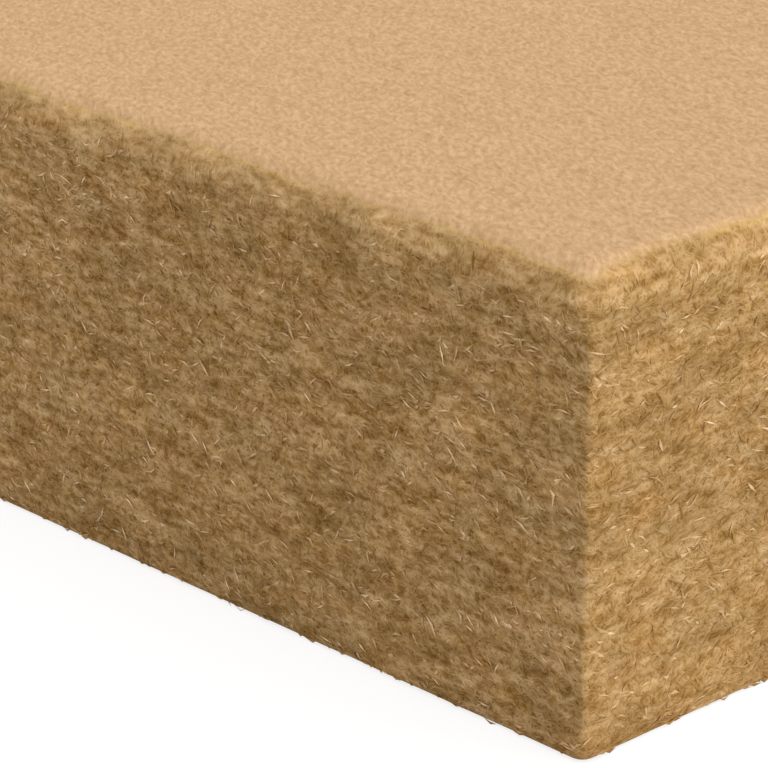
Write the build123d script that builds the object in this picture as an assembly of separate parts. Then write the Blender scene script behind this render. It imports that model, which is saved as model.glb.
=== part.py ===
"""Flexible wood-fibre insulation batt, lying flat.

The batt is one felted slab. A forming belt presses it to its thickness and rolls the rim of
the upper face over softly. Saws then cut it to width and length, which leaves upright cut
edges that are only a little blunt. The underside lies flat, with a small round along its rim.

X runs along the length, Y across the width and Z up through the thickness. The origin is in
the middle of the underside.
"""

import os

from build123d import *

# Driving dimensions, in millimetres
batt_length = 1220
batt_width = 575  # a friction fit in the clear bay between two studs
batt_thickness = 140
cut_corner_radius = 2  # upright corners, blunted where two saw cuts meet
rolled_rim_radius = 12  # rim of the pressed upper face
base_rim_radius = 2.5  # rim of the face that the batt lies on


def fibre_batt():
    """The slab: its plan raised to the thickness, then the rims of both faces rounded."""
    with BuildPart() as batt:
        with BuildSketch():
            RectangleRounded(batt_length, batt_width, cut_corner_radius)
        extrude(amount=batt_thickness)
        upper_face = batt.faces().sort_by(Axis.Z)[-1]
        fillet(upper_face.edges(), rolled_rim_radius)
        underside = batt.faces().sort_by(Axis.Z)[0]
        fillet(underside.edges(), base_rim_radius)
    return batt.part


pieces = {"fibre_batt": fibre_batt()}

os.makedirs("parts", exist_ok=True)
for name, piece in pieces.items():
    export_step(piece, f"parts/{name}.step")
    size = piece.bounding_box().size
    print(f"{name}: {size.X:.1f} x {size.Y:.1f} x {size.Z:.1f} mm, {piece.volume:.0f} mm3")
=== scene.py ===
# %% [markdown]
# # A batt of felted wood fibre
#
# The object is a slab of wood-fibre insulation, lying flat. Its broad upper face was pressed by a
# forming belt, so it is smooth and pale. Its four edges were sawn, so they are rough, darker and
# covered in loose fibre ends.
#
# The slab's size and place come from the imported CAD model. This lesson dresses that model: a new
# skin with real relief, a coat of loose fibres, and the finishes of both.

# %% Load the frame
import math

import bpy
import numpy as np
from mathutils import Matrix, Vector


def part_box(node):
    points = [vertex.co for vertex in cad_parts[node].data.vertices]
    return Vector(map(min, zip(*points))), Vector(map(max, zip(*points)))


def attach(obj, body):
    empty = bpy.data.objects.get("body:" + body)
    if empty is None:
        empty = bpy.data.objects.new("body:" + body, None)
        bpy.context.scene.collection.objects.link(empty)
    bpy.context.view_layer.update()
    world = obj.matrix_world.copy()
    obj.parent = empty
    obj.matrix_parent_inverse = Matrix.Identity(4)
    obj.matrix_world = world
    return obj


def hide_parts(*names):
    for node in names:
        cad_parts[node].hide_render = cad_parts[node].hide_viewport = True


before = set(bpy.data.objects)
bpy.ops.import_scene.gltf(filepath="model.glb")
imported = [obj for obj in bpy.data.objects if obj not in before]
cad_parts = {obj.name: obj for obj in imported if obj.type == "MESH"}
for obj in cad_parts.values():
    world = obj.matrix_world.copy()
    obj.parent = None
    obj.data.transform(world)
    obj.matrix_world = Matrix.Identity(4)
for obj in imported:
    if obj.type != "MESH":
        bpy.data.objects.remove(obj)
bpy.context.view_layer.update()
NODE = "fibre_batt"
BODY = "root"

# %% [markdown]
# ## Sizes
#
# Blender works in metres here. The three big sizes are read from the CAD node's box, so they can
# never disagree with it. The edge radii are the only sizes that are repeated: a box doesn't tell
# how round its edges are.

# %% Sizes of the slab
MM = 0.001
low, high = (np.array(corner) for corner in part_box(NODE))
length, width, thickness = high - low
CORNER_RADIUS = 2 * MM
ROLLED_RIM_RADIUS = 12 * MM
BASE_RIM_RADIUS = 2.5 * MM
print(f"slab {length:.3f} x {width:.3f} x {thickness:.3f} m")

# %% [markdown]
# ## The camera
#
# The photograph looks down on one corner of the slab from about 21 degrees, through a long lens.
# A long lens keeps the receding edges nearly parallel. The camera is placed from that near bottom
# corner, so it would follow the corner if the slab changed.

# %% Camera at the photograph's angle
LENS = 182.7
PITCH_DOWN = math.radians(21.42)
AZIMUTH = math.radians(46.22)
near_corner = np.array([high[0], low[1], low[2]])
CAMERA_FROM_CORNER = np.array([0.6394, -0.6865, 0.4783])
camera_data = bpy.data.cameras.new("camera")
camera_data.lens = LENS
camera = bpy.data.objects.new("camera", camera_data)
camera.location = near_corner + CAMERA_FROM_CORNER
camera.rotation_euler = (math.pi / 2 - PITCH_DOWN, 0, AZIMUTH)
bpy.context.scene.collection.objects.link(camera)
bpy.context.scene.camera = camera
print("camera at", [round(x, 3) for x in camera.location])

# %% [markdown]
# ## Randomness that never changes
#
# Felt has no pattern, so almost everything below is random. Every draw comes from a seeded source,
# so that the slab is the same slab each time. Smooth randomness is a lattice of random values,
# blended between its corners. It is worked out for all points at once.

# %% A smooth random field
LATTICE_CELLS = 128


def smooth_noise(points, size, seed):
    """Smooth random value from -1 to 1 at each point.

    Space is cut into cells of the given size. Each cell corner has a random value. A point blends
    the eight corners of its cell by s * s * (3 - 2 * s), where s is its share of the way across.
    """
    corner_values = np.random.default_rng(seed).uniform(-1, 1, (LATTICE_CELLS,) * 3)
    scaled = points / np.asarray(size)
    cell = np.floor(scaled).astype(int)
    share = scaled - cell
    share = share * share * (3 - 2 * share)
    total = np.zeros(len(points))
    for corner in np.ndindex(2, 2, 2):
        weight = np.where(corner, share, 1 - share).prod(axis=1)
        at = (cell + corner) % LATTICE_CELLS
        total += weight * corner_values[at[:, 0], at[:, 1], at[:, 2]]
    return total


def smooth_step(value, start, end):
    """0 before start, 1 after end, and the curve s * s * (3 - 2 * s) between them."""
    share = np.clip((value - start) / (end - start), 0, 1)
    return share * share * (3 - 2 * share)


# %% [markdown]
# ## The form of the slab
#
# The skin starts as points on a sharp box. Each point is then moved onto the rounded slab. To do
# that, an inner box is drawn that is smaller by the edge radii. What a point sticks out past the
# inner box is made into a quarter circle. One formula rounds every edge and corner, and it also
# gives the direction that the surface faces.

# %% Round a box into the slab
RIM_BLEND_HEIGHT = 12 * MM
WORN_CORNER_RADIUS = 5 * MM
WORN_HEIGHT = 9 * MM


def rounded(box_points):
    """Points of a sharp box, moved onto the rounded slab, and the outward normals there.

    Rest = point - point clamped to the inner box. Divided by the radii, the rest is scaled to
    length 1. The new point is the clamped point + radii * unit rest, the normal is unit rest / radii.
    The upright corners grow from the cut radius to the rim radius as they near the upper face, and
    a little by the floor, where the felt is worn.
    """
    height = box_points[:, 2] - low[2]
    upper = smooth_step(height, thickness - ROLLED_RIM_RADIUS - RIM_BLEND_HEIGHT, thickness)
    worn = 1 - smooth_step(height, 0, WORN_HEIGHT)
    plan_radius = CORNER_RADIUS + (ROLLED_RIM_RADIUS - CORNER_RADIUS) * upper
    plan_radius += (WORN_CORNER_RADIUS - CORNER_RADIUS) * worn
    rim_radius = np.where(height > thickness / 2, ROLLED_RIM_RADIUS, BASE_RIM_RADIUS)
    radii = np.stack([plan_radius, plan_radius, rim_radius], axis=1)
    inner = np.clip(box_points, low + radii, high - radii)
    rest = (box_points - inner) / radii
    rest /= np.linalg.norm(rest, axis=1, keepdims=True)
    normals = rest / radii
    normals /= np.linalg.norm(normals, axis=1, keepdims=True)
    return inner + radii * rest, normals


# %% [markdown]
# ## Relief of the sawn edges
#
# A saw tears wood felt a little: the edges are lumpy, in flat lumps that follow the layers the
# fibres were laid in. The rolled rim isn't quite straight either. Both are moves along the surface
# normal. The pressed face keeps only a faint swell, and the underside stays flat on the floor.

# %% Relief as a function of place
CLUMP_SIZE = np.array([14, 14, 5.5]) * MM
TUFT_SIZE = np.array([7, 7, 4]) * MM
RIM_WAVE_SIZE = np.array([34, 34, 34]) * MM
SWELL_SIZE = np.array([70, 70, 70]) * MM
CLUMP_HEIGHT = 0.7 * MM
TUFT_HEIGHT = 0.45 * MM
RIM_WAVE_HEIGHT = 1.0 * MM
SWELL_HEIGHT = 0.4 * MM
SUNK = 0.7 * MM
CLUMP_SEED, TUFT_SEED, WAVE_SEED, SWELL_SEED = 11, 12, 13, 14
LEVEL_START, LEVEL_FULL = 0.55, 0.98


def sawn_share(normals):
    """How much a place belongs to a sawn edge: 1 on upright faces, fading to 0 on the level ones."""
    return 1 - smooth_step(np.abs(normals[:, 2]), LEVEL_START, LEVEL_FULL)


def relieved(points, normals):
    """Points moved along their normals by the sum of clumps, tufts, rim wave and swell."""
    sawn = sawn_share(normals)
    facing_up = np.clip(normals[:, 2], 0, 1)
    clumps = CLUMP_HEIGHT * smooth_noise(points, CLUMP_SIZE, CLUMP_SEED)
    tufts = TUFT_HEIGHT * smooth_noise(points, TUFT_SIZE, TUFT_SEED)
    wave = RIM_WAVE_HEIGHT * smooth_noise(points, RIM_WAVE_SIZE, WAVE_SEED) * facing_up
    swell = SWELL_HEIGHT * (smooth_noise(points, SWELL_SIZE, SWELL_SEED) - 1) * facing_up
    moves = sawn * (clumps + tufts - SUNK + wave) + swell
    moved = points + normals * moves[:, None]
    moved[:, 2] = np.maximum(moved[:, 2], low[2])
    return moved


# %% [markdown]
# ## The net of the skin
#
# The sawn edges need small meshes to show their clumps. The broad faces don't, so they are fine
# only along their border and coarse inside. Where the two meet, a coarse face takes in the extra
# points of its fine neighbours, so the skin has no cracks.

# %% Net lines and faces
EDGE_CELLS = 8
EDGE_ZONE = 13 * MM
BORDER = 12
COARSE = 4
COLUMNS, ROWS = 400, 188


def net_lines(start, end, cells):
    """Places of the net's lines: close together in the zone at each end, even between."""
    first = np.linspace(start, start + EDGE_ZONE, EDGE_CELLS, endpoint=False)
    middle = np.linspace(start + EDGE_ZONE, end - EDGE_ZONE, cells - 2 * EDGE_CELLS, endpoint=False)
    last = np.linspace(end - EDGE_ZONE, end, EDGE_CELLS + 1)
    return np.concatenate([first, middle, last])


def coarse_faces(columns, rows, border, step):
    """Coarse cells inside the border. A side that lies on the border keeps its fine points."""
    faces = []
    i, j = np.meshgrid(
        np.arange(border, columns - border, step), np.arange(border, rows - border, step), indexing="ij")
    i, j = i.ravel(), j.ravel()
    sides_fine = np.stack(
        [j == border, i == columns - border - step, j == rows - border - step, i == border], axis=1)
    starts = [(0, 0), (step, 0), (step, step), (0, step)]
    directions = [(1, 0), (0, 1), (-1, 0), (0, -1)]
    for pattern in np.unique(sides_fine, axis=0):
        chosen = (sides_fine == pattern).all(axis=1)
        outline = []
        for fine, start, along in zip(pattern, starts, directions):
            stops = range(step) if fine else range(1)
            outline += [(start[0] + k * along[0], start[1] + k * along[1]) for k in stops]
        outline = np.array(outline)
        at = (i[chosen, None] + outline[:, 0]) * (rows + 1) + j[chosen, None] + outline[:, 1]
        faces.append(at)
    return faces


def plate_faces(columns, rows, border, step):
    """Faces of a level plate: fine squares in the border, coarse ones inside it."""
    i, j = np.meshgrid(np.arange(columns), np.arange(rows), indexing="ij")
    inside = (i >= border) & (i < columns - border) & (j >= border) & (j < rows - border)
    i, j = i[~inside], j[~inside]
    corner = i * (rows + 1) + j
    fine = np.stack([corner, corner + rows + 1, corner + rows + 2, corner + 1], axis=1)
    return [fine, *coarse_faces(columns, rows, border, step)]


# %% Net of the whole box
RIM_CELLS = 7
BASE_CELLS = 3
SIDE_CELLS = 38
WELD_DIGITS = 7

x_lines = net_lines(low[0], high[0], COLUMNS)
y_lines = net_lines(low[1], high[1], ROWS)
z_lines = np.concatenate([
    np.linspace(low[2], low[2] + BASE_RIM_RADIUS, BASE_CELLS, endpoint=False),
    np.linspace(low[2] + BASE_RIM_RADIUS, high[2] - ROLLED_RIM_RADIUS, SIDE_CELLS, endpoint=False),
    np.linspace(high[2] - ROLLED_RIM_RADIUS, high[2], RIM_CELLS + 1),
])


def plate_points(height):
    """All crossings of the x and y lines at one height."""
    x, y = np.meshgrid(x_lines, y_lines, indexing="ij")
    return np.stack([x, y, np.full_like(x, height)], axis=2).reshape(-1, 3)


def band_points():
    """The outline of the box, once round anticlockwise, repeated at every z line."""
    walk = np.concatenate([
        np.stack([x_lines[:-1], np.full(COLUMNS, low[1])], axis=1),
        np.stack([np.full(ROWS, high[0]), y_lines[:-1]], axis=1),
        np.stack([x_lines[:0:-1], np.full(COLUMNS, high[1])], axis=1),
        np.stack([np.full(ROWS, low[0]), y_lines[:0:-1]], axis=1),
    ])
    points = np.empty((len(walk), len(z_lines), 3))
    points[:, :, :2] = walk[:, None, :]
    points[:, :, 2] = z_lines
    return points.reshape(-1, 3)


def band_faces():
    """Squares between each upright line of the band and the next, the last joined to the first."""
    around = 2 * (COLUMNS + ROWS)
    high_count = len(z_lines)
    i, j = np.meshgrid(np.arange(around), np.arange(high_count - 1), indexing="ij")
    i, j = i.ravel(), j.ravel()
    after = (i + 1) % around
    return np.stack([i * high_count + j, after * high_count + j,
                     after * high_count + j + 1, i * high_count + j + 1], axis=1)


def slab_net():
    """Box points and faces of the skin: upper plate, lower plate turned over, and the band, welded."""
    upper, lower, band = plate_points(high[2]), plate_points(low[2]), band_points()
    upper_faces = plate_faces(COLUMNS, ROWS, BORDER, COARSE)
    lower_faces = [faces[:, ::-1] + len(upper) for faces in upper_faces]
    groups = [*upper_faces, *lower_faces, band_faces() + len(upper) + len(lower)]
    points = np.concatenate([upper, lower, band])
    used = np.unique(np.concatenate([faces.ravel() for faces in groups]))
    places = np.round(points[used], WELD_DIGITS)
    _, first, weld = np.unique(places, axis=0, return_index=True, return_inverse=True)
    renumber = np.zeros(len(points), int)
    renumber[used] = weld.ravel()
    return points[used][first], [renumber[faces] for faces in groups]


box_points, face_groups = slab_net()
print(len(box_points), "points,", sum(len(faces) for faces in face_groups), "faces")

# %% [markdown]
# ## Finishes
#
# All the colour is made by nodes on Object coordinates, so the pattern sits in the material like
# the fibres do. A helper adds one node and fills its sockets. The other helpers use it, each for one
# kind of sum, which keeps the recipes short.

# %% Helpers that add nodes
NOISE_MIDDLE = 0.5


def new_material(name):
    """A material, its node tree and the shader in that tree."""
    material = bpy.data.materials.new(name)
    material.use_nodes = True
    return material, material.node_tree, material.node_tree.nodes["Principled BSDF"]


def add_node(tree, kind, inputs=None, **settings):
    """Add a node, set its properties, then fill each socket with a number or a link."""
    node = tree.nodes.new(kind)
    for name, value in settings.items():
        setattr(node, name, value)
    for socket, value in (inputs or {}).items():
        if isinstance(value, bpy.types.NodeSocket):
            tree.links.new(value, node.inputs[socket])
        else:
            node.inputs[socket].default_value = value
    return node


def maths(tree, operation, first, second):
    """One sum of two numbers or sockets."""
    return add_node(tree, "ShaderNodeMath", {0: first, 1: second}, operation=operation).outputs[0]


def mixed(tree, share, first, second, blend="MIX"):
    """Colour between two colours or sockets, or the first blended with the second in another way."""
    inputs = {0: share, 6: first, 7: second}
    return add_node(tree, "ShaderNodeMix", inputs, data_type="RGBA", blend_type=blend).outputs[2]


def remapped(tree, value, start, end, to_start=0.0, to_end=1.0):
    """A value moved from one range to another and held at its ends."""
    node = add_node(tree, "ShaderNodeMapRange", {
        "Value": value, "From Min": start, "From Max": end, "To Min": to_start, "To Max": to_end})
    return node.outputs[0]


def between(tree, share, first, second):
    """The number that lies a share of the way from the first to the second."""
    return remapped(tree, share, 0.0, 1.0, first, second)


def off_middle(tree, noise):
    """How far a noise is above its middle value, or below it if negative."""
    return maths(tree, "SUBTRACT", noise, NOISE_MIDDLE)


def noise_at(tree, place, size, turn=(0, 0, 0), detail=1.0):
    """Noise whose blobs have the given size along x, y and z, after a turn."""
    mapping = add_node(tree, "ShaderNodeMapping", {
        "Vector": place, "Rotation": turn, "Scale": size}, vector_type="TEXTURE")
    noise = add_node(tree, "ShaderNodeTexNoise", {
        "Vector": mapping.outputs[0], "Scale": 1.0, "Detail": detail})
    return noise.outputs[0]


def ramp(tree, value, stops):
    """Colour ramp through (place, colour) stops."""
    node = add_node(tree, "ShaderNodeValToRGB", {0: value})
    elements = node.color_ramp.elements
    while len(elements) < len(stops):
        elements.new(0.5)
    for element, (place, colour) in zip(elements, stops):
        element.position = place
        element.color = (*colour, 1)
    return node.outputs[0]


# %% [markdown]
# ### Strands as a pattern
#
# A smooth noise passes through its middle value along thin wandering lines. Stretched one way, those
# lines look like strands of fibre. Several sets, each turned another way and each fading in and out,
# are laid over each other by keeping the highest value at each place. That gives a mat of crossing
# strands on any face that cuts through it.

# %% Mat of crossing strands
STRAND_PITCH = (9 * MM, 1.8 * MM, 1.8 * MM)
STRAND_TURNS = [(0, 0, 12), (0, 14, 55), (0, -12, 100), (0, 8, 150), (0, 25, 30), (0, -22, 125)]
STRAND_HALF = 0.10
STRAND_CORE = 0.02
STRAND_FADE_SIZE = 2.8 * MM
STRAND_FADE_LIMITS = (0.40, 0.56)
FADE_SHIFTS = (0.0, 0.31)
WANDER_SIZE = 5 * MM
WANDER_REACH = 2.8 * MM


def cloud(tree, place, size):
    """Three smooth random numbers at each place, as one colour."""
    scaled = add_node(tree, "ShaderNodeMapping", {
        "Vector": place, "Scale": (size,) * 3}, vector_type="TEXTURE")
    return add_node(tree, "ShaderNodeTexNoise", {
        "Vector": scaled.outputs[0], "Scale": 1.0, "Detail": 0.0}).outputs["Color"]


def vector_maths(tree, operation, first, second):
    """One sum of two vectors or sockets."""
    return add_node(tree, "ShaderNodeVectorMath", {0: first, 1: second}, operation=operation).outputs[0]


def wandering(tree, place):
    """The place, pushed about by a slow random field, so that lines drawn on it bend."""
    push = vector_maths(tree, "SUBTRACT", cloud(tree, place, WANDER_SIZE), (NOISE_MIDDLE,) * 3)
    return vector_maths(tree, "ADD", place, vector_maths(tree, "MULTIPLY", push, (WANDER_REACH,) * 3))


def crossing_strands(tree, place):
    """The highest of several sets of thin lines, one set for each way that strands run.

    A line is 1 where its stretched noise is within STRAND_CORE of its middle value and 0 where it is
    more than STRAND_HALF away. Each set is multiplied by a random number of its own that changes from
    place to place, so that single strands come and go.
    """
    bent_place = wandering(tree, place)
    fades = []
    for shift in FADE_SHIFTS:
        moved = vector_maths(tree, "ADD", place, (shift, shift, shift))
        split = add_node(tree, "ShaderNodeSeparateXYZ", {0: cloud(tree, moved, STRAND_FADE_SIZE)})
        fades += list(split.outputs)
    highest = None
    for turn, fade in zip(STRAND_TURNS, fades):
        radians = [math.radians(angle) for angle in turn]
        noise = noise_at(tree, bent_place, STRAND_PITCH, radians, detail=0.0)
        off = add_node(tree, "ShaderNodeMath", {0: off_middle(tree, noise)}, operation="ABSOLUTE")
        line = remapped(tree, off.outputs[0], STRAND_CORE, STRAND_HALF, 1.0, 0.0)
        line = maths(tree, "MULTIPLY", line, remapped(tree, fade, *STRAND_FADE_LIMITS))
        highest = line if highest is None else maths(tree, "MAXIMUM", highest, line)
    return highest


# %% [markdown]
# ### Painted light and shade of the felt, and its tint
#
# Felt is lighter where it stands out and darker where it lies deep: light reaches the tops and shade
# fills the hollows. Here that light and shade is painted into the colour. One random depth stands for
# both: clumps, wide thin layers and small flecks, added up. Slow patches of tint go over the colours,
# because the wood is of several kinds.

# %% Depth and tint of the felt
LAYER_SIZE = (16 * MM, 16 * MM, 2.4 * MM)
FLECK_SIZE = (4.6 * MM, 4.6 * MM, 2.1 * MM)
CLUMP_WEIGHT, LAYER_WEIGHT, FLECK_WEIGHT = 1.3, 1.2, 1.6
# On the ends less light and shade is painted by depth, because the sun falls on the end face.
END_SHADE_CONTRAST = 0.85
TINT_SIZE = (16 * MM, 16 * MM, 9 * MM)
TINT_RAMP = [(0.32, (1.03, 0.985, 0.93)), (0.5, (1.0, 1.0, 1.0)), (0.68, (0.975, 0.99, 0.965))]
SHADE_SIZE = (30 * MM, 30 * MM, 14 * MM)
SHADE_RAMP = [(0.3, (0.90, 0.90, 0.90)), (0.7, (1.10, 1.10, 1.10))]


def felt_depth_shading(tree, place):
    """How near the surface the felt lies: about 0.5, lower where it lies deep.

    It is the weighted sum of three noises that each have a mean of 0.5, less the shift that brings
    the mean of the sum to 0.5. The layers are wide and thin, because the fibres were laid flat. The
    colour paints shade where the depth is low and light where it is high.
    """
    clumps = maths(tree, "MULTIPLY", noise_at(tree, place, tuple(CLUMP_SIZE), detail=2.0), CLUMP_WEIGHT)
    layers = maths(tree, "MULTIPLY", noise_at(tree, place, LAYER_SIZE), LAYER_WEIGHT)
    flecks = maths(tree, "MULTIPLY", noise_at(tree, place, FLECK_SIZE), FLECK_WEIGHT)
    shift = (CLUMP_WEIGHT + LAYER_WEIGHT + FLECK_WEIGHT - 1) * NOISE_MIDDLE
    total = maths(tree, "ADD", maths(tree, "ADD", clumps, layers), flecks)
    return maths(tree, "SUBTRACT", total, shift)


def eased_on_ends(tree, depth, end_share):
    """The depth, drawn towards its middle value on the ends, where less light and shade is painted because
    the sun falls on the end face.
    """
    drawn = maths(tree, "MULTIPLY", off_middle(tree, depth), between(tree, end_share, 1.0, END_SHADE_CONTRAST))
    return maths(tree, "ADD", drawn, NOISE_MIDDLE)


def patch_tint(tree, place, colour):
    """The colour times a patchy tint, to orange or to olive, and times a broad, slow shade."""
    tint = ramp(tree, noise_at(tree, place, TINT_SIZE, detail=2.0), TINT_RAMP)
    shade = ramp(tree, noise_at(tree, place, SHADE_SIZE), SHADE_RAMP)
    return mixed(tree, 1.0, mixed(tree, 1.0, colour, tint, "MULTIPLY"), shade, "MULTIPLY")


# %% [markdown]
# ### The skin's finish
#
# The pressed face is pale tan with a fine, low ripple. The sawn edges are brown felt with painted shade
# in the gaps between the clumps. Two materials would meet in a hard line, so one material holds both.
# It mixes them by an attribute of the skin that says how sawn each place is. Noise frays the line where
# they meet, and patches of gold tint it.

# %% Colours of the skin
# The pressed face's shade and pale colours are partly painted shade and light on its ripple.
PRESSED_SHADE = (0.485, 0.282, 0.128)
PRESSED_TAN = (0.645, 0.400, 0.206)
PRESSED_PALE = (0.805, 0.540, 0.306)
# The two darkest felt colours are painted shade: in the gaps, and where the felt lies deep.
FELT_GAP_SHADE = (0.18, 0.073, 0.008)
FELT_SHADED_DEEP = (0.26, 0.126, 0.022)
FELT_BROWN = (0.39, 0.212, 0.062)
FELT_LIGHT = (0.505, 0.303, 0.119)
FELT_STRAND = (0.70, 0.462, 0.228)
# The straw colour is pale wood pushed near white, partly as a painted highlight where straws glint.
FELT_STRAW = (0.97, 0.740, 0.460)
FELT_RAMP = [(0.0, FELT_SHADED_DEEP), (0.5, FELT_BROWN), (1.0, FELT_LIGHT)]
STRAND_RAMP = [(0.0, (0.53, 0.334, 0.146)), (0.5, FELT_STRAND), (1.0, (0.87, 0.612, 0.330))]
# The rim ramp is painted light at the top of the sawn edges, which catch the light from above.
RIM_LIGHT_RAMP = [(0.0, (0.34, 0.178, 0.054)), (0.5, (0.465, 0.263, 0.094)), (1.0, (0.65, 0.398, 0.180))]
PRESSED_RAMP = [(0.2, PRESSED_SHADE), (0.5, PRESSED_TAN), (0.8, PRESSED_PALE)]
LIP_TINT = (1.03, 1.06, 0.86)

# %% The line between the two finishes
FRAY_GRAIN = (2.2 * MM, 2.2 * MM, 2.2 * MM)
FRAY_LIMITS = (0.2, 0.8)
FRAY_SHARE = 0.30
LINE_LIMITS = (0.2, 0.8)
LIP_PATCH_SIZE = (18 * MM, 18 * MM, 18 * MM)
LIP_PATCH_LIMITS = (0.35, 0.6)
LIP_LEAST, LIP_MOST = 0.3, 1.0


def frayed_line(tree, place, sawn):
    """The sawn share with noise added, stretched so that the line between the finishes is ragged."""
    grain = noise_at(tree, place, FRAY_GRAIN, detail=2.0)
    fray = remapped(tree, grain, *FRAY_LIMITS, -FRAY_SHARE, FRAY_SHARE)
    return remapped(tree, maths(tree, "ADD", sawn, fray), *LINE_LIMITS)


def golden_lip(tree, place, sawn_here, pressed_here, colour):
    """The colour times a golden tint along the line, more in some patches than in others.

    The lip is 4 * s * (1 - s), where s is the sawn share: 1 half way across the line, 0 off it.
    """
    patch = noise_at(tree, place, LIP_PATCH_SIZE)
    patch_share = remapped(tree, patch, *LIP_PATCH_LIMITS, 4 * LIP_LEAST, 4 * LIP_MOST)
    lip = maths(tree, "MULTIPLY", maths(tree, "MULTIPLY", sawn_here, pressed_here), patch_share)
    return mixed(tree, lip, colour, (*LIP_TINT, 1), "MULTIPLY")


# %% Colours of the felt and of the pressed face
# The gaps between the clumps are darkened as painted shade.
GAP_SHADE_SIZE = (3.0 * MM, 3.0 * MM, 1.5 * MM)
GAP_SHADE_LIMITS = (0.34, 0.43)
# On the ends the gaps get less painted shade and the felt less strand colour.
GAP_SHADE_SHARE, END_GAP_SHADE = 0.6, 0.6
STRAND_SHARE, END_STRAND_SHARE, PRESSED_STRAND_SHARE = 0.55, 0.49, 0.16
STREAK_SIZE = (40 * MM, 7 * MM, 7 * MM)
STREAK_SHARE = 0.13


def felt_colour(tree, place, strands, end_share, rim):
    """Brown felt, with painted shade by its depth and in the gaps, painted light at the top of the rim, and
    strands over it all.
    """
    depth = eased_on_ends(tree, felt_depth_shading(tree, place), end_share)
    gap_shade = remapped(tree, noise_at(tree, place, GAP_SHADE_SIZE), *GAP_SHADE_LIMITS, GAP_SHADE_SHARE, 0.0)
    gap_shade = maths(tree, "MULTIPLY", gap_shade, between(tree, end_share, 1.0, END_GAP_SHADE))
    felt = mixed(tree, gap_shade, ramp(tree, depth, FELT_RAMP), (*FELT_GAP_SHADE, 1))
    felt = mixed(tree, rim, felt, ramp(tree, depth, RIM_LIGHT_RAMP))
    share = maths(tree, "MULTIPLY", strands, between(tree, end_share, STRAND_SHARE, END_STRAND_SHARE))
    felt = mixed(tree, share, felt, ramp(tree, depth, STRAND_RAMP))
    return patch_tint(tree, place, felt)


def pressed_colour(tree, place, strands, ripple):
    """Tan by the ripple plus long faint streaks, with a hint of the strands. The ripple's dark and pale
    ticks are partly painted shade and light of its relief.
    """
    streaks = maths(tree, "MULTIPLY", off_middle(tree, noise_at(tree, place, STREAK_SIZE)), STREAK_SHARE)
    streaked = maths(tree, "ADD", ripple, streaks)
    share = maths(tree, "MULTIPLY", strands, PRESSED_STRAND_SHARE)
    return mixed(tree, share, ramp(tree, streaked, PRESSED_RAMP), (*PRESSED_PALE, 1))


# %% Skin material
TICK_SIZE = (3.3 * MM, 1.45 * MM, 1.45 * MM)
TICK_TURN = math.radians(-36)
STRAND_BUMP = 0.5
BUMP_STRENGTH, BUMP_HEIGHT = 0.5, 0.4 * MM
PRESSED_ROUGHNESS, FELT_ROUGHNESS = 0.82, 0.95
SPECULAR_LEVEL = 0.05
SAWN_NAME = "sawn"
RIM_LIGHT_NAME = "rim"
END_SHARE_NAME = "end_share"


def felt_skin_material():
    """The pressed finish and the felt, mixed by how sawn a place is, with a golden lip between them.

    The bump's height is the strands on the felt and the ripple on the pressed face.
    """
    material, tree, shader = new_material("felt_skin")
    place = add_node(tree, "ShaderNodeTexCoord").outputs["Object"]
    sawn, rim, end_share = (add_node(tree, "ShaderNodeAttribute", attribute_name=name).outputs["Fac"]
                       for name in (SAWN_NAME, RIM_LIGHT_NAME, END_SHARE_NAME))
    sawn_here = frayed_line(tree, place, sawn)
    pressed_here = maths(tree, "SUBTRACT", 1.0, sawn_here)
    strands = crossing_strands(tree, place)
    ripple = noise_at(tree, wandering(tree, place), TICK_SIZE, (0, 0, TICK_TURN), detail=2.0)
    felt = felt_colour(tree, place, strands, end_share, rim)
    colour = mixed(tree, sawn_here, pressed_colour(tree, place, strands, ripple), felt)
    colour = golden_lip(tree, place, sawn_here, pressed_here, colour)
    tree.links.new(colour, shader.inputs["Base Color"])

    strand_height = maths(tree, "MULTIPLY", maths(tree, "MULTIPLY", strands, STRAND_BUMP), sawn_here)
    height = maths(tree, "ADD", strand_height, maths(tree, "MULTIPLY", ripple, pressed_here))
    bump = add_node(tree, "ShaderNodeBump", {
        "Height": height, "Strength": BUMP_STRENGTH, "Distance": BUMP_HEIGHT})
    tree.links.new(bump.outputs[0], shader.inputs["Normal"])
    roughness = between(tree, sawn_here, PRESSED_ROUGHNESS, FELT_ROUGHNESS)
    tree.links.new(roughness, shader.inputs["Roughness"])
    shader.inputs["Specular IOR Level"].default_value = SPECULAR_LEVEL
    return material


# %% [markdown]
# ### Making the skin
#
# The material reads three numbers at each point: how sawn the place is, how near the rolled rim, where
# light is painted, and how much it belongs to an end, where less shade and rim light are painted and the
# felt covers more of the roll. They could be painted on by hand. Here they are worked out from the
# point's place on the sharp box, so that they fit the slab at any size.

# %% Pieces from arrays


def new_piece(name, points, faces, material):
    """A mesh object at the origin, made from arrays, that rides on the slab's body."""
    mesh = bpy.data.meshes.new(name)
    mesh.from_pydata(points, [], faces)
    mesh.materials.append(material)
    piece = bpy.data.objects.new(name, mesh)
    bpy.context.scene.collection.objects.link(piece)
    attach(piece, BODY)
    return piece


def add_value(piece, name, values):
    """A number for each point of a piece, which its material can read."""
    attribute = piece.data.attributes.new(name, "FLOAT", "POINT")
    attribute.data.foreach_set("value", values.astype(np.float32))


# %% Numbers that the skin's material reads
SAWN_REACH, SAWN_FADE = 2.4 * MM, 8.5 * MM
# On the ends the brown felt reaches further onto the rolled rim, as painted shade that dims the roll where
# the sun falls on it.
END_REACH, END_FADE = 3.6 * MM, 12 * MM
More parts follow.
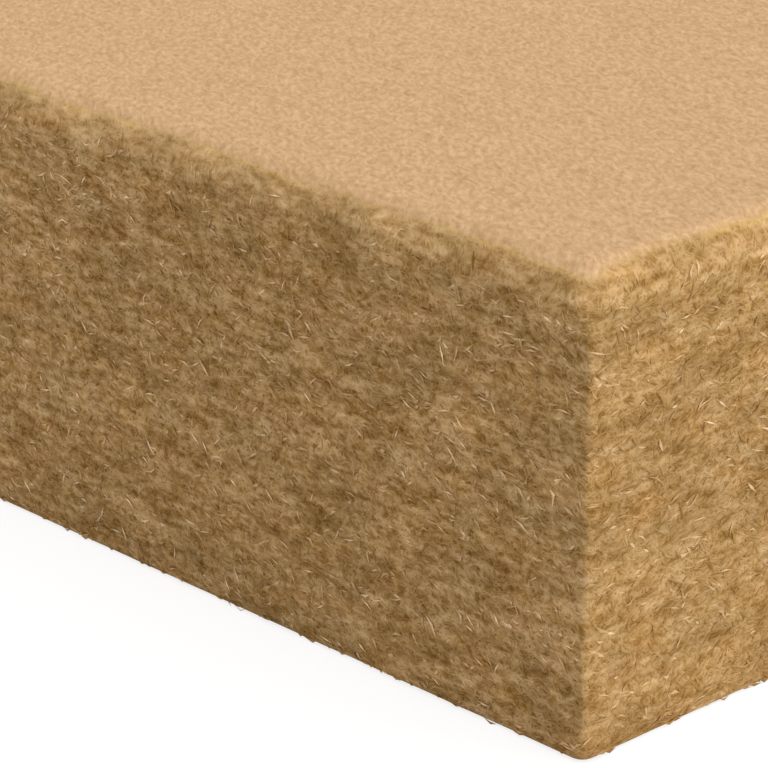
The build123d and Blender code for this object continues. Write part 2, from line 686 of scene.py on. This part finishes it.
# The rim's painted light fades in over these distances.
RIM_LIGHT_REACH = 14 * MM
RIM_LIGHT_FULL = -6 * MM
FRAY_SIZE = np.array([26, 26, 26]) * MM
FRAY_REACH = 3.6 * MM
FRAY_SEED = 21
# On the ends most of the rim's painted light is taken out.
END_RIM_LIGHT_CUT = 0.85
ON_PLATE = 0.5 * MM
END_SIDE_FADE = 3 * MM


def to_sides(box_points):
    """Distances of each point from the nearer end, the nearer long edge and the nearer broad face."""
    return np.minimum(high - box_points, box_points - low)


def past_rim(box_points):
    """The way past the box's rim: the inset on a broad face, minus the distance to it on an edge.

    A slow random field makes the rim's line wander.
    """
    to_end, to_edge, to_plate = to_sides(box_points).T
    wander = FRAY_REACH * smooth_noise(box_points, FRAY_SIZE, FRAY_SEED)
    return np.where(to_plate < ON_PLATE, np.minimum(to_end, to_edge), -to_plate) - wander


def sawn_value(box_points, end_share):
    """1 on the sawn edges and 0 on the broad faces, with a wandering line along the rim between."""
    line = past_rim(box_points) - (SAWN_REACH + (END_REACH - SAWN_REACH) * end_share)
    fade = SAWN_FADE + (END_FADE - SAWN_FADE) * end_share
    return 1 - smooth_step(line / fade, -0.5, 0.5)


def rim_light_value(box_points, end_share):
    """1 at the top of the rolled rim, fading to 0 down the sawn edge, and weaker on the ends. It places
    painted light, where the top of the sawn edge catches light from above.
    """
    upper = box_points[:, 2] > low[2] + thickness / 2
    faded = smooth_step(past_rim(box_points), -RIM_LIGHT_REACH, RIM_LIGHT_FULL)
    return upper * faded * (1 - END_RIM_LIGHT_CUT * end_share)


def end_share_value(box_points):
    """1 where an end is the nearest side, and 0 elsewhere. The ends get less painted shade and rim light,
    and their brown felt covers more of the roll as painted shade, because the sun falls on the end face.
    """
    to_end, to_edge, _ = to_sides(box_points).T
    return smooth_step(to_edge - to_end, -END_SIDE_FADE, END_SIDE_FADE)


# %% Make the skin
skin_points, skin_normals = rounded(box_points)
skin_points = relieved(skin_points, skin_normals)
skin_faces = [face for faces in face_groups for face in faces.tolist()]
skin = new_piece("felt_skin", skin_points, skin_faces, felt_skin_material())
skin.data.shade_smooth()
skin_end_share = end_share_value(box_points)
add_value(skin, SAWN_NAME, sawn_value(box_points, skin_end_share))
add_value(skin, RIM_LIGHT_NAME, rim_light_value(box_points, skin_end_share))
add_value(skin, END_SHARE_NAME, skin_end_share)
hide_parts(NODE)
skin.data.calc_loop_triangles()
print("skin triangles", len(skin.data.loop_triangles))

# %% [markdown]
# ### The skin opened flat
#
# When the part is exported, its colours are baked into a picture, so every face needs a place of its
# own on it. Blender could unwrap the skin, but a slab opens by itself: each side is a rectangle. The
# rectangles are stacked in rows at one scale. The underside is squeezed into what is left.

# %% Bake layout of the skin
BAKE_LAYOUT = "OFBake"
SHEET_GAP = 0.005
LEFT_END_START = 0.5
SHEET_SCALE = (1 - 2 * SHEET_GAP) / length
along_x, along_y, along_z = np.eye(3)
plate_height, edge_height = width * SHEET_SCALE, thickness * SHEET_SCALE
front_row = plate_height + 2 * SHEET_GAP
back_row = front_row + edge_height + SHEET_GAP
end_row = back_row + edge_height + SHEET_GAP
under_row = end_row + edge_height + SHEET_GAP
squeeze = (1 - SHEET_GAP - under_row) / plate_height


def add_bake_layout(piece, places):
    """Give a piece its flat layout: one place for each corner of each face."""
    layer = piece.data.uv_layers.new(name=BAKE_LAYOUT)
    layer.uv.foreach_set("vector", places.astype(np.float32).ravel())


def sheet(faces, right, up, left, bottom):
    """Flat places of face corners on one side of the box, from the sheet's left and bottom.

    A corner's place is its distance along the directions right and up, times the sheet's scale.
    """
    axes = np.stack([right, up], axis=1)
    start = np.minimum(low @ axes, high @ axes)
    return (box_points[faces.ravel()] @ axes - start) * SHEET_SCALE + (left, bottom)


plate_groups = (len(face_groups) - 1) // 2
band_cuts = np.cumsum([COLUMNS, ROWS, COLUMNS]) * (len(z_lines) - 1)
front, right_end, back, left_end = np.split(face_groups[-1], band_cuts)
skin_places = [sheet(faces, along_x, along_y, SHEET_GAP, SHEET_GAP) for faces in face_groups[:plate_groups]]
skin_places += [sheet(faces, -along_x, squeeze * along_y, SHEET_GAP, under_row)
                for faces in face_groups[plate_groups:-1]]
skin_places += [sheet(front, along_x, along_z, SHEET_GAP, front_row),
                sheet(right_end, along_y, along_z, SHEET_GAP, end_row),
                sheet(back, -along_x, along_z, SHEET_GAP, back_row),
                sheet(left_end, -along_y, along_z, LEFT_END_START, end_row)]
skin_places = np.concatenate(skin_places)
add_bake_layout(skin, skin_places)
print("sheet from", skin_places.min(axis=0).round(3), "to", skin_places.max(axis=0).round(3))

# %% [markdown]
# ## Loose fibres
#
# The sawn edges are a fur of short fibre ends, which lie mostly along the layers they were laid in.
# Blender's hair could make them, but a part for export needs a mesh. So each fibre is a flat, bent
# spindle: a tip at each end and a ring of three points between, which make a closed shape of six
# triangles. Thousands are made at once as arrays and joined in one mesh for each band of an edge.

# %% Two coats of fibre
#
# Reach and breadth are in millimetres, swirl and scatter in radians. A tone of 0 is the darkest
# fibre, 1 the palest. The ends get the calmer coat: its fibres swirl less, and its light fibres and
# straws are fewer and darker, which is painted shade where the sun falls straight on the end face.
EDGE_COAT = {"reach": 3.5, "swirl": 0.75, "scatter": 0.55, "tone": 0.52, "tone_spread": 0.08,
             "rim_light_tone": 0.03, "light_share": 0.11, "straw_share": 0.016, "straw_tone": (0.80, 0.95)}
END_COAT = {"reach": 3.4, "swirl": 0.55, "scatter": 0.55, "tone": 0.52, "tone_spread": 0.07,
            "rim_light_tone": 0.0, "light_share": 0.06, "straw_share": 0.010, "straw_tone": (0.72, 0.86)}
REACH_SPREAD = 0.36
REACH_LIMITS = (2.0, 8)
BREADTH, BREADTH_SPREAD = 0.95, 0.22
BREADTH_LIMITS = (0.6, 1.4)
STRAW_REACH = (3.5, 6.5)
STRAW_BREADTH = (0.55, 0.8)
LIGHT_TONE = (0.60, 0.85)

# %% Places on the edges
LOWEST_FIBRE = 0.4 * MM
UNDER_RIM = 2 * MM
OVERHANG = 0.6 * MM


def edge_places(rng, reach, start, end, band):
    """Random box points on one band of an upright face, and the direction along the face.

    start and end are the plan corners of the face, and band its lowest and highest place. A fibre
    of the given reach that lies level sticks out past a corner by no more than the overhang.
    """
    start, end = np.asarray(start), np.asarray(end)
    run = np.linalg.norm(end - start)
    direction = (end - start) / run
    margin = reach / 2 - OVERHANG
    along = margin + rng.random(len(reach)) * (run - 2 * margin)
    climb = rng.uniform(*band, len(reach))
    points = np.column_stack([start + along[:, None] * direction, low[2] + climb])
    return points, np.append(direction, 0)


def never_down(normals):
    """Unit normals with any downward part taken out, so that no fibre points into the floor."""
    level = np.column_stack([normals[:, :2], np.maximum(normals[:, 2], 0)])
    return level / np.linalg.norm(level, axis=1, keepdims=True)


def local_axes(normals, along):
    """Two unit directions in the surface at each place: along the edge, and up it."""
    ahead = along - normals * (normals @ along)[:, None]
    ahead /= np.linalg.norm(ahead, axis=1, keepdims=True)
    return ahead, np.cross(normals, ahead)


# %% The way each fibre lies
#
# The tilts are in degrees.
COMB_SIZE = np.array([14, 14, 10]) * MM
COMB_SEED = 51
TILT, TILT_SPREAD, BASE_TILT = 3, 5, 6
TILT_LIMITS = (-5, 25)
RIM_CALM, BASE_CALM = 0.6, 0.9


def headings(rng, base, normals, along, near_rim, near_base, coat):
    """Unit heading of each fibre, the unit direction across it, and its tilt out of the face.

    Its angle from level is a slow swirl plus a scatter. At the rim the fibres turn upright, and by
    the floor they lie level. Then each is tilted out of the face by a few degrees, more by the floor.
    """
    ahead, up = local_axes(normals, along)
    swirl = coat["swirl"] * smooth_noise(base, COMB_SIZE, COMB_SEED)
    angle = swirl * (1 - near_rim) + near_rim * math.pi / 2 + rng.normal(0, coat["scatter"], len(base))
    angle *= 1 - BASE_CALM * near_base
    flat = ahead * np.cos(angle)[:, None] + up * np.sin(angle)[:, None]
    tilt = rng.normal(TILT, TILT_SPREAD, len(base)) * (1 - RIM_CALM * near_rim)
    tilt = np.radians(np.clip(tilt + BASE_TILT * near_base, *TILT_LIMITS))
    heading = flat * np.cos(tilt)[:, None] + normals * np.sin(tilt)[:, None]
    return heading, np.cross(normals, flat), tilt


# %% Bent spindles from arrays
RING = 3
RING_ANGLES = np.radians([90, 210, 330])
SPINDLE_POINTS = 2 + RING
RING_PAIRS = [(2 + k, 2 + (k + 1) % RING) for k in range(RING)]
SPINDLE_FACES = np.array([(0, after, here) for here, after in RING_PAIRS]
                         + [(1, here, after) for here, after in RING_PAIRS])


def spindles(centre, heading, across, lift, reach, breadth, bow):
    """Points and faces of bent spindles: a tip at each end and a ring of three points between.

    The tips are half the reach away along the heading. The ring is moved across by the bow. The
    length of lift says how thick the ring is: 1 is as thick as it is broad.
    """
    tips = heading * reach[:, None] / 2
    middle = centre + across * bow[:, None]
    rows = [centre - tips, centre + tips]
    for angle in RING_ANGLES:
        spoke = across * math.cos(angle) + lift * math.sin(angle)
        rows.append(middle + spoke * breadth[:, None] / 2)
    faces = SPINDLE_FACES + SPINDLE_POINTS * np.arange(len(centre))[:, None, None]
    return np.stack(rows, axis=1).reshape(-1, 3), faces.reshape(-1, 3)


# %% A coat of fibres
FIBRE_THICKNESS, STRAW_THICKNESS = 0.12, 0.4
RIM_ZONE = (18 * MM, 3 * MM)
BASE_ZONE = 7 * MM
RIM_BARE_SHARE = 0.9
BOW_SHARE, STRAW_BOW = 0.10, 0.5
BASE_ROOTED = 0.6
LOOSE = 0.12 * MM
STRAW_LOOSE = 0.2 * MM


def fuzz(rng, count, start, end, band, coat):
    """Points, faces and tones of the fibres on one band of an edge.

    A fibre's middle stands off the skin by reach * sin(tilt) / 2, so that its lower tip touches the
    skin, plus a little at random. By the floor it sits deeper. A few fibres are straws: rounder, paler
    and lying on top of the rest. Towards the rim most are left out, because the belt pressed them in.
    """
    straw = rng.random(count) < coat["straw_share"]
    reach = np.clip(rng.lognormal(math.log(coat["reach"]), REACH_SPREAD, count), *REACH_LIMITS)
    breadth = np.clip(rng.lognormal(math.log(BREADTH), BREADTH_SPREAD, count), *BREADTH_LIMITS)
    reach = np.where(straw, rng.uniform(*STRAW_REACH, count), reach) * MM
    breadth = np.where(straw, rng.uniform(*STRAW_BREADTH, count), breadth) * MM
    box, along = edge_places(rng, reach, start, end, band)
    near_rim = smooth_step(box[:, 2], high[2] - RIM_ZONE[0], high[2] - RIM_ZONE[1])
    near_base = 1 - smooth_step(box[:, 2], low[2], low[2] + BASE_ZONE)
    base, normals = rounded(box)
    base = relieved(base, normals)
    normals = never_down(normals)
    heading, across, tilt = headings(rng, base, normals, along, near_rim, near_base, coat)
    lift = np.cross(heading, across) * np.where(straw, STRAW_THICKNESS, FIBRE_THICKNESS)[:, None]
    bow = reach * rng.normal(0, BOW_SHARE, count) * np.where(straw, STRAW_BOW, 1)
    stand = reach * np.sin(tilt) / 2 + rng.uniform(0, LOOSE, count) + STRAW_LOOSE * straw
    stand *= 1 - BASE_ROOTED * near_base
    centre = base + normals * stand[:, None]
    # Fibres near the rim are made paler, as painted light from above.
    tone = coat["tone"] + coat["rim_light_tone"] * near_rim + rng.normal(0, coat["tone_spread"], count)
    tone = np.where(rng.random(count) < coat["light_share"], rng.uniform(*LIGHT_TONE, count), tone)
    tone = np.where(straw, rng.uniform(*coat["straw_tone"], count), tone)
    kept = rng.random(count) > RIM_BARE_SHARE * near_rim
    points, faces = spindles(*(values[kept] for values in (
        centre, heading, across, lift, reach, breadth, bow)))
    points[:, 2] = np.maximum(points[:, 2], low[2])
    return points, faces, tone[kept]


# %% [markdown]
# ### The fibres' finish
#
# Each fibre has one tone of its own, stored at its points. A material for each fibre would be far too
# many. One ramp of felt colours turns the tone into a colour, and the depth of the felt shifts it, so
# that fibres in a hollow get the same painted shade as the felt there.

# %% Fibre material
TONE_NAME = "tone"
FIBRE_ROUGHNESS = 0.8
FIBRE_RAMP = [(0.0, FELT_GAP_SHADE), (0.22, FELT_SHADED_DEEP), (0.42, FELT_BROWN), (0.6, FELT_LIGHT),
              (0.75, FELT_STRAND), (1.0, FELT_STRAW)]


def loose_fibre_material(name, depth_share):
    """Colour by the fibre's own tone, moved a little by the depth of the felt where it lies: painted shade
    in its hollows.
    """
    material, tree, shader = new_material(name)
    place = add_node(tree, "ShaderNodeTexCoord").outputs["Object"]
    tone = add_node(tree, "ShaderNodeAttribute", attribute_name=TONE_NAME).outputs["Fac"]
    shift = maths(tree, "MULTIPLY", off_middle(tree, felt_depth_shading(tree, place)), depth_share)
    colour = ramp(tree, maths(tree, "ADD", tone, shift), FIBRE_RAMP)
    tree.links.new(patch_tint(tree, place, colour), shader.inputs["Base Color"])
    shader.inputs["Roughness"].default_value = FIBRE_ROUGHNESS
    shader.inputs["Specular IOR Level"].default_value = SPECULAR_LEVEL
    return material


# %% [markdown]
# ### A place for each fibre on the baked picture
#
# The fibres' faces need places on a picture too. Each fibre gets a cell in a square grid, opened flat
# like a cracker. Cells are in order of tone, so that a fibre's neighbours on the picture have about its
# own colour.

# %% Cells of the bake layout
CELL_EDGE = 0.06
ring_stops = np.linspace(CELL_EDGE, 1 - CELL_EDGE, RING + 1)
opened = [[(CELL_EDGE, 0.5), (0.5, ring_stops[k + 1]), (0.5, ring_stops[k])] for k in range(RING)]
opened += [[(1 - CELL_EDGE, 0.5), (0.5, ring_stops[k]), (0.5, ring_stops[k + 1])] for k in range(RING)]
OPENED_SPINDLE = np.array(opened).reshape(-1, 2)


def fibre_cells(tone):
    """Flat places of the face corners of every fibre: its cell by rank of tone, then the opened form."""
    rank = tone.argsort().argsort()
    side = math.ceil(math.sqrt(len(tone)))
    cell = np.stack([rank % side, rank // side], axis=1)
    return ((cell[:, None] + OPENED_SPINDLE) / side).reshape(-1, 2)


# %% Lay the fuzz on every edge
FIBRE_SEED = 41
FUZZ_DENSITY = 0.26 / MM ** 2
EDGE_DEPTH_SHARE, END_DEPTH_SHARE = 0.34, 0.32
front_left, front_right = (low[0], low[1]), (high[0], low[1])
back_right, back_left = (high[0], high[1]), (low[0], high[1])
whole = (LOWEST_FIBRE, thickness - UNDER_RIM)
lower_half, upper_half = (whole[0], thickness / 2), (thickness / 2, whole[1])
edge_material = loose_fibre_material("edge_fibre", EDGE_DEPTH_SHARE)
end_material = loose_fibre_material("end_fibre", END_DEPTH_SHARE)
stretches = {
    "fuzz_front_lower": (front_left, front_right, lower_half, EDGE_COAT, edge_material),
    "fuzz_front_upper": (front_left, front_right, upper_half, EDGE_COAT, edge_material),
    "fuzz_end_right": (front_right, back_right, whole, END_COAT, end_material),
    "fuzz_back_lower": (back_right, back_left, lower_half, EDGE_COAT, edge_material),
    "fuzz_back_upper": (back_right, back_left, upper_half, EDGE_COAT, edge_material),
    "fuzz_end_left": (back_left, front_left, whole, END_COAT, end_material)}
for order, (name, (start, end, band, coat, material)) in enumerate(stretches.items()):
    rng = np.random.default_rng(FIBRE_SEED + order)
    count = int(FUZZ_DENSITY * math.dist(start, end) * (band[1] - band[0]))
    fuzz_points, fuzz_faces, fuzz_tone = fuzz(rng, count, start, end, band, coat)
    piece = new_piece(name, fuzz_points, fuzz_faces, material)
    add_value(piece, TONE_NAME, np.repeat(fuzz_tone, SPINDLE_POINTS))
    add_bake_layout(piece, fibre_cells(fuzz_tone))
    print(name, len(fuzz_tone), "fibres", len(fuzz_faces), "triangles")

# %% [markdown]
# ## Floor and light
#
# A plain white floor, a soft even sky and one broad sun from the right and above. The sky lights
# every face alike and the sun makes the end face brighter than the long edge, as in the photograph.
# Lamps near the slab could do that too, but their light would fade along it.

# %% Floor
FLOOR_HALF = 12
floor_mesh = bpy.data.meshes.new("floor")
floor_corners = [(-FLOOR_HALF, -FLOOR_HALF, low[2]), (FLOOR_HALF, -FLOOR_HALF, low[2]),
                 (FLOOR_HALF, FLOOR_HALF, low[2]), (-FLOOR_HALF, FLOOR_HALF, low[2])]
floor_mesh.from_pydata(floor_corners, [], [(0, 1, 2, 3)])
floor = bpy.data.objects.new("floor", floor_mesh)
bpy.context.scene.collection.objects.link(floor)
print("floor at", low[2])

# %% Floor finish
FLOOR_BOUNCE, FLOOR_SEEN, FLOOR_GLOW = 0.65, 0.28, 0.81


def seen_directly(tree):
    """1 for rays that the camera, a gloss or a clear material sends, which show the background."""
    path = add_node(tree, "ShaderNodeLightPath").outputs
    direct = maths(tree, "MAXIMUM", path["Is Camera Ray"], path["Is Glossy Ray"])
    return maths(tree, "MAXIMUM", direct, path["Is Transmission Ray"])


def floor_material():
    """White that glows where it is seen, so that it blends with the sky, and bounces light elsewhere."""
    material, tree, shader = new_material("floor_white")
    seen = seen_directly(tree)
    grey = mixed(tree, seen, (*[FLOOR_BOUNCE] * 3, 1), (*[FLOOR_SEEN] * 3, 1))
    tree.links.new(grey, shader.inputs["Base Color"])
    shader.inputs["Roughness"].default_value = 1
    shader.inputs["Specular IOR Level"].default_value = 0
    shader.inputs["Emission Color"].default_value = (1, 1, 1, 1)
    glow = maths(tree, "MULTIPLY", seen, FLOOR_GLOW)
    tree.links.new(glow, shader.inputs["Emission Strength"])
    return material


floor_mesh.materials.append(floor_material())

# %% Light
SKY_LEVEL, SKY_SEEN = 0.39, 1.0
SUN_LEVEL = 2.48
SUN_TOWARDS = np.array([0.66, 0.08, 0.745])
SUN_ANGLE = math.radians(100)
world = bpy.data.worlds.new("studio")
bpy.context.scene.world = world
world.use_nodes = True
sky = world.node_tree.nodes["Background"]
background_seen = seen_directly(world.node_tree)
sky_strength = add_node(world.node_tree, "ShaderNodeMix", {0: background_seen, 2: SKY_LEVEL, 3: SKY_SEEN})
sky.inputs["Color"].default_value = (1, 1, 1, 1)
world.node_tree.links.new(sky_strength.outputs[0], sky.inputs["Strength"])
sun_data = bpy.data.lights.new("sun", "SUN")
sun_data.energy = SUN_LEVEL
sun_data.angle = SUN_ANGLE
sun = bpy.data.objects.new("sun", sun_data)
sun_lean = math.atan2(math.hypot(SUN_TOWARDS[0], SUN_TOWARDS[1]), SUN_TOWARDS[2])
sun.rotation_euler = (sun_lean, 0, math.atan2(SUN_TOWARDS[0], -SUN_TOWARDS[1]))
bpy.context.scene.collection.objects.link(sun)
bpy.context.scene.view_settings.view_transform = "Standard"
print(f"sun {math.degrees(sun_lean):.0f} degrees from overhead, sky level {SKY_LEVEL}")
